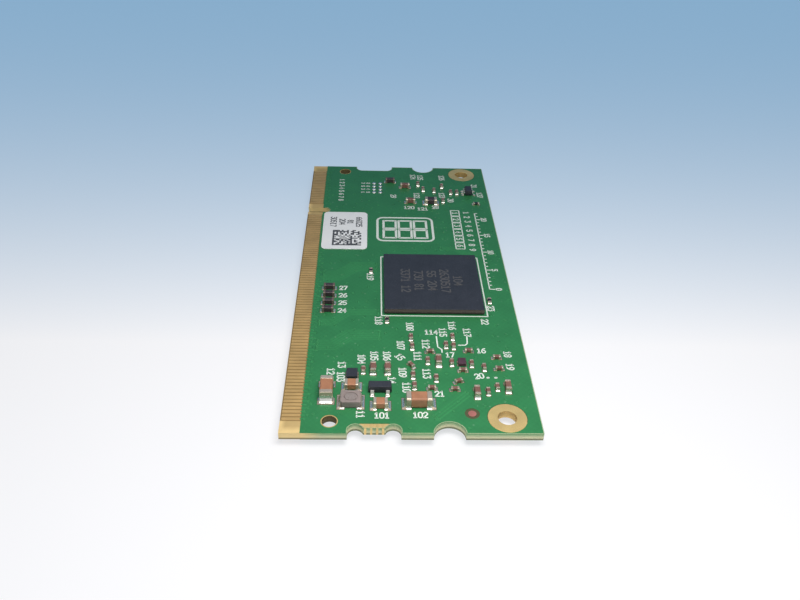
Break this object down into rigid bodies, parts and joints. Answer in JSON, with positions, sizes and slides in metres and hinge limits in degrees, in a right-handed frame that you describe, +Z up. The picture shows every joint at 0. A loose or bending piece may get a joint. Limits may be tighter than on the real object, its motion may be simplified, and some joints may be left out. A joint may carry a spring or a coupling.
{
  "type": "system on module",
  "caption": "Computer module on a notched green circuit card that plugs in by its two-sided gold contact edge, with a processor, power parts and chip capacitors on top.",
  "frame": {"origin": "middle of the card's footprint, at the level of the underside packages that it lies on", "axes": "+X from the contact edge to the back edge, +Y along the contact edge away from the power parts, +Z up out of the processor's face"},
  "size_m": [0.031, 0.0676, 0.0036],
  "materials": {
    "laminate": "glass-fibre laminate, satin cut edges",
    "solder_mask": "glossy green solder mask",
    "gold": "gold-plated copper",
    "copper": "bare copper, coated",
    "solder": "bright tin solder",
    "tin_ends": "matte tin plating",
    "ceramic_brown": "sintered brown ceramic",
    "ceramic_red": "sintered red-brown ceramic",
    "ferrite": "dark sintered ferrite",
    "inductor_grey": "mauve-grey ferrite",
    "resin_grey": "grey magnetic resin",
    "package_black": "dark epoxy moulding compound",
    "package_substrate": "dark green package laminate",
    "resistor_black": "black glaze",
    "crystal_ceramic": "alumina ceramic",
    "lid_metal": "nickel-plated lid",
    "label_white": "white polyester label",
    "legend_white": "white legend ink",
    "print_black": "black label print"
  },
  "bodies": {
    "root": {"circuit_board": "laminate", "solder_mask_top": "solder_mask", "solder_mask_underside": "solder_mask", "edge_contacts_top": "gold", "edge_contacts_underside": "gold", "mounting_hole_plating": "gold", "tab_strips_gold": "gold", "fiducial_dot": "copper", "lands_top": "gold", "lands_underside": "gold", "solder_top": "solder", "solder_underside": "solder", "header_pads": "solder", "processor_mould": "package_black", "processor_substrate": "package_substrate", "processor_balls": "solder", "memory_mould": "package_black", "memory_substrate": "package_substrate", "memory_balls": "solder", "flash_mould": "package_black", "flash_substrate": "package_substrate", "flash_balls": "solder", "inductor_core": "inductor_grey", "inductor_resin": "resin_grey", "inductor_terminals": "tin_ends", "transistor_body": "package_black", "transistor_leads": "tin_ends", "supervisor_body": "package_black", "supervisor_leads": "tin_ends", "converter_body": "package_black", "converter_feet": "tin_ends", "logic_body": "package_black", "logic_feet": "tin_ends", "crystal_base": "crystal_ceramic", "crystal_lid": "lid_metal", "bulk_capacitor_left_body": "ceramic_brown", "bulk_capacitor_left_ends": "tin_ends", "bulk_capacitor_right_body": "ceramic_brown", "bulk_capacitor_right_ends": "tin_ends", "input_capacitor_body": "ceramic_brown", "input_capacitor_ends": "tin_ends", "output_capacitor_body": "ceramic_brown", "output_capacitor_ends": "tin_ends", "choke_body": "ferrite", "choke_ends": "tin_ends", "small_capacitor_bodies": "ceramic_red", "small_capacitor_ends": "tin_ends", "tiny_capacitor_bodies": "ceramic_red", "tiny_capacitor_ends": "tin_ends", "resistor_bodies": "resistor_black", "resistor_ends": "tin_ends", "ferrite_bead_bodies": "ferrite", "ferrite_bead_ends": "tin_ends", "underside_capacitor_bodies": "ceramic_red", "underside_capacitor_ends": "tin_ends", "label_sticker": "label_white"}
  },
  "joints": []
}
